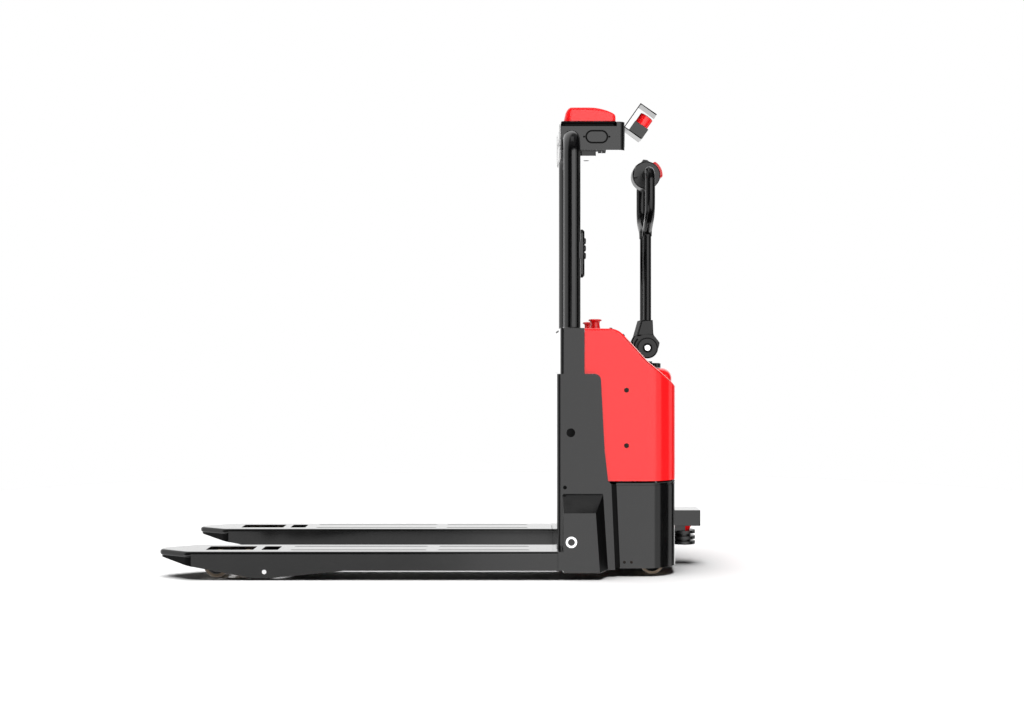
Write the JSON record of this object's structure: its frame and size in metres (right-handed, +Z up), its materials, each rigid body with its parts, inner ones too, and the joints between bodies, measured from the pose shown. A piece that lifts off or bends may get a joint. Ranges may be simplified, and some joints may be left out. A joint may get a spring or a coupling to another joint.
{
  "type": "robotic pallet truck",
  "caption": "Low-lift robotic pallet truck: forks on load rollers, battery frame with sensor mast, covered drive unit with steered wheel and tiller.",
  "frame": {"origin": "on the floor, under the middle of the truck's outer box", "axes": "+X towards the drive unit and operator, forks towards -X, +Z up"},
  "size_m": [1.596, 0.685, 1.416],
  "materials": {
    "dark_paint": "satin powder coat",
    "fork_paint": "satin powder coat",
    "gloss_black": "gloss enamel",
    "red_cover": "gloss moulding",
    "black_cover": "fine moulded grain",
    "black_trim": "moulded",
    "red_trim": "moulded",
    "bright_steel": "ground",
    "zinc_steel": "zinc plated",
    "polyurethane": "cast tread",
    "grip_rubber": "moulded",
    "battery_case": "moulded",
    "lidar_red": "clear moulding"
  },
  "bodies": {
    "chassis": {"chassis_frame": "fork_paint", "hood": "red_cover", "skirt": "black_cover", "cover_screws": "gloss_black", "lift_barrel": "gloss_black", "pump_unit": "gloss_black", "scanner_shield": "dark_paint", "safety_scanner": "black_trim", "scanner_ring": "lidar_red"},
    "fork_frame": {"right_fork": "fork_paint", "left_fork": "fork_paint", "fork_tips": "fork_paint", "pivot_pins": "bright_steel", "frame_shell": "dark_paint", "root_boxes": "dark_paint", "crank_bushes": "bright_steel", "battery_pack": "battery_case", "lift_rod": "bright_steel", "mast_posts": "gloss_black", "mast_bow": "gloss_black", "head_housing": "dark_paint", "head_lid": "dark_paint", "head_dome": "red_cover", "head_face_plate": "dark_paint", "side_windows": "black_trim", "underside_camera": "black_trim", "lidar_bracket": "dark_paint", "lidar_base": "black_trim", "lidar_window": "lidar_red", "panel_housing": "black_cover"},
    "bell_crank": {"bell_crank": "fork_paint"},
    "push_rods": {"push_rods": "fork_paint"},
    "steering": {"drive_housing": "fork_paint", "drive_motor": "gloss_black", "tiller_base": "gloss_black", "tilt_pin": "bright_steel"},
    "drive_wheel": {"drive_wheel": "polyurethane"},
    "tiller": {"tiller_joint": "gloss_black", "tiller_tubes": "gloss_black", "tiller_grips": "grip_rubber", "tiller_head": "black_trim"},
    "belly_button": {"belly_button": "red_trim"},
    "throttle": {"throttle": "black_trim"},
    "panel_button_top": {"panel_button_top": "black_trim"},
    "panel_button_middle": {"panel_button_middle": "black_trim"},
    "panel_button_bottom": {"panel_button_bottom": "black_trim"},
    "right_load_arm": {"right_load_arm": "fork_paint"},
    "right_bogie": {"right_bogie": "fork_paint"},
    "right_front_roller": {"right_front_roller": "polyurethane"},
    "right_rear_roller": {"right_rear_roller": "polyurethane"},
    "right_emergency_stop": {"right_emergency_stop": "red_trim"},
    "right_caster_fork": {"right_caster_fork": "zinc_steel"},
    "right_caster_wheel": {"right_caster_wheel": "polyurethane"},
    "left_load_arm": {"left_load_arm": "fork_paint"},
    "left_bogie": {"left_bogie": "fork_paint"},
    "left_front_roller": {"left_front_roller": "polyurethane"},
    "left_rear_roller": {"left_rear_roller": "polyurethane"},
    "left_emergency_stop": {"left_emergency_stop": "red_trim"},
    "left_caster_fork": {"left_caster_fork": "zinc_steel"},
    "left_caster_wheel": {"left_caster_wheel": "polyurethane"}
  },
  "joints": [
    {"name": "fork_lift", "type": "slide", "parent": "chassis", "child": "fork_frame", "axis": [0, 0, 1], "range_m": [0, 0.105]},
    {"name": "crank_turn", "type": "hinge", "parent": "fork_frame", "child": "bell_crank", "pos_m": [0.3908, 0, 0.108], "axis": [0, 1, 0], "range_deg": [0, 53]},
    {"name": "rod_push", "type": "slide", "parent": "fork_frame", "child": "push_rods", "axis": [-1, 0, 0], "range_m": [0, 0.045]},
    {"name": "right_arm_swing", "type": "hinge", "parent": "fork_frame", "child": "right_load_arm", "pos_m": [-0.4845, -0.2625, 0.0237], "axis": [0, -1, 0], "range_deg": [0, 67]},
    {"name": "right_bogie_level", "type": "hinge", "parent": "right_load_arm", "child": "right_bogie", "pos_m": [-0.5905, -0.2625, 0.037], "axis": [0, 1, 0], "range_deg": [0, 67]},
    {"name": "right_front_roller_spin", "type": "hinge", "parent": "right_bogie", "child": "right_front_roller", "pos_m": [-0.6315, -0.2625, 0.037], "axis": [0, 1, 0], "continuous": true},
    {"name": "right_rear_roller_spin", "type": "hinge", "parent": "right_bogie", "child": "right_rear_roller", "pos_m": [-0.5495, -0.2625, 0.037], "axis": [0, 1, 0], "continuous": true},
    {"name": "left_arm_swing", "type": "hinge", "parent": "fork_frame", "child": "left_load_arm", "pos_m": [-0.4845, 0.2625, 0.0237], "axis": [0, -1, 0], "range_deg": [0, 67]},
    {"name": "left_bogie_level", "type": "hinge", "parent": "left_load_arm", "child": "left_bogie", "pos_m": [-0.5905, 0.2625, 0.037], "axis": [0, 1, 0], "range_deg": [0, 67]},
    {"name": "left_front_roller_spin", "type": "hinge", "parent": "left_bogie", "child": "left_front_roller", "pos_m": [-0.6315, 0.2625, 0.037], "axis": [0, 1, 0], "continuous": true},
    {"name": "left_rear_roller_spin", "type": "hinge", "parent": "left_bogie", "child": "left_rear_roller", "pos_m": [-0.5495, 0.2625, 0.037], "axis": [0, 1, 0], "continuous": true},
    {"name": "steering_turn", "type": "hinge", "parent": "chassis", "child": "steering", "pos_m": [0.6115, 0, 0.206], "axis": [0, 0, 1], "range_deg": [-90, 90]},
    {"name": "drive_spin", "type": "hinge", "parent": "steering", "child": "drive_wheel", "pos_m": [0.6115, 0, 0.0875], "axis": [0, 1, 0], "continuous": true},
    {"name": "tiller_tilt", "type": "hinge", "parent": "steering", "child": "tiller", "pos_m": [0.6355, 0, 0.664], "axis": [0, 1, 0], "range_deg": [0, 60], "stiffness_Nm_per_rad": 14, "springref_deg": -34.38},
    {"name": "belly_press", "type": "slide", "parent": "tiller", "child": "belly_button", "axis": [-0.891, 0, -0.454], "range_m": [0, 0.005], "stiffness_N_per_m": 500, "springref_m": -0.004},
    {"name": "throttle_turn", "type": "hinge", "parent": "tiller", "child": "throttle", "pos_m": [0.601, 0, 1.199], "axis": [0, 1, 0], "range_deg": [-25, 25], "stiffness_Nm_per_rad": 0.2},
    {"name": "press_top", "type": "slide", "parent": "fork_frame", "child": "panel_button_top", "axis": [-1, 0, 0], "range_m": [0, 0.0025], "stiffness_N_per_m": 200, "springref_m": -0.002},
    {"name": "press_middle", "type": "slide", "parent": "fork_frame", "child": "panel_button_middle", "axis": [-1, 0, 0], "range_m": [0, 0.0025], "stiffness_N_per_m": 200, "springref_m": -0.002},
    {"name": "press_bottom", "type": "slide", "parent": "fork_frame", "child": "panel_button_bottom", "axis": [-1, 0, 0], "range_m": [0, 0.0025], "stiffness_N_per_m": 200, "springref_m": -0.002},
    {"name": "right_stop_press", "type": "slide", "parent": "chassis", "child": "right_emergency_stop", "axis": [0, 0, -1], "range_m": [0, 0.005], "stiffness_N_per_m": 500, "springref_m": -0.004},
    {"name": "right_caster_swivel", "type": "hinge", "parent": "chassis", "child": "right_caster_fork", "pos_m": [0.6115, -0.212, 0.106], "axis": [0, 0, 1], "continuous": true},
    {"name": "right_caster_spin", "type": "hinge", "parent": "right_caster_fork", "child": "right_caster_wheel", "pos_m": [0.6315, -0.212, 0.036], "axis": [0, 1, 0], "continuous": true},
    {"name": "left_stop_press", "type": "slide", "parent": "chassis", "child": "left_emergency_stop", "axis": [0, 0, -1], "range_m": [0, 0.005], "stiffness_N_per_m": 500, "springref_m": -0.004},
    {"name": "left_caster_swivel", "type": "hinge", "parent": "chassis", "child": "left_caster_fork", "pos_m": [0.6115, 0.212, 0.106], "axis": [0, 0, 1], "continuous": true},
    {"name": "left_caster_spin", "type": "hinge", "parent": "left_caster_fork", "child": "left_caster_wheel", "pos_m": [0.6315, 0.212, 0.036], "axis": [0, 1, 0], "continuous": true}
  ],
  "couplings": [
    {"joint": "crank_turn", "follows": "fork_lift", "rad_per_m": 8.6251},
    {"joint": "rod_push", "follows": "fork_lift", "ratio": 0.41667},
    {"joint": "right_arm_swing", "follows": "fork_lift", "rad_per_m": 11.018},
    {"joint": "right_bogie_level", "follows": "fork_lift", "rad_per_m": 11.018},
    {"joint": "left_arm_swing", "follows": "fork_lift", "rad_per_m": 11.018},
    {"joint": "left_bogie_level", "follows": "fork_lift", "rad_per_m": 11.018}
  ]
}
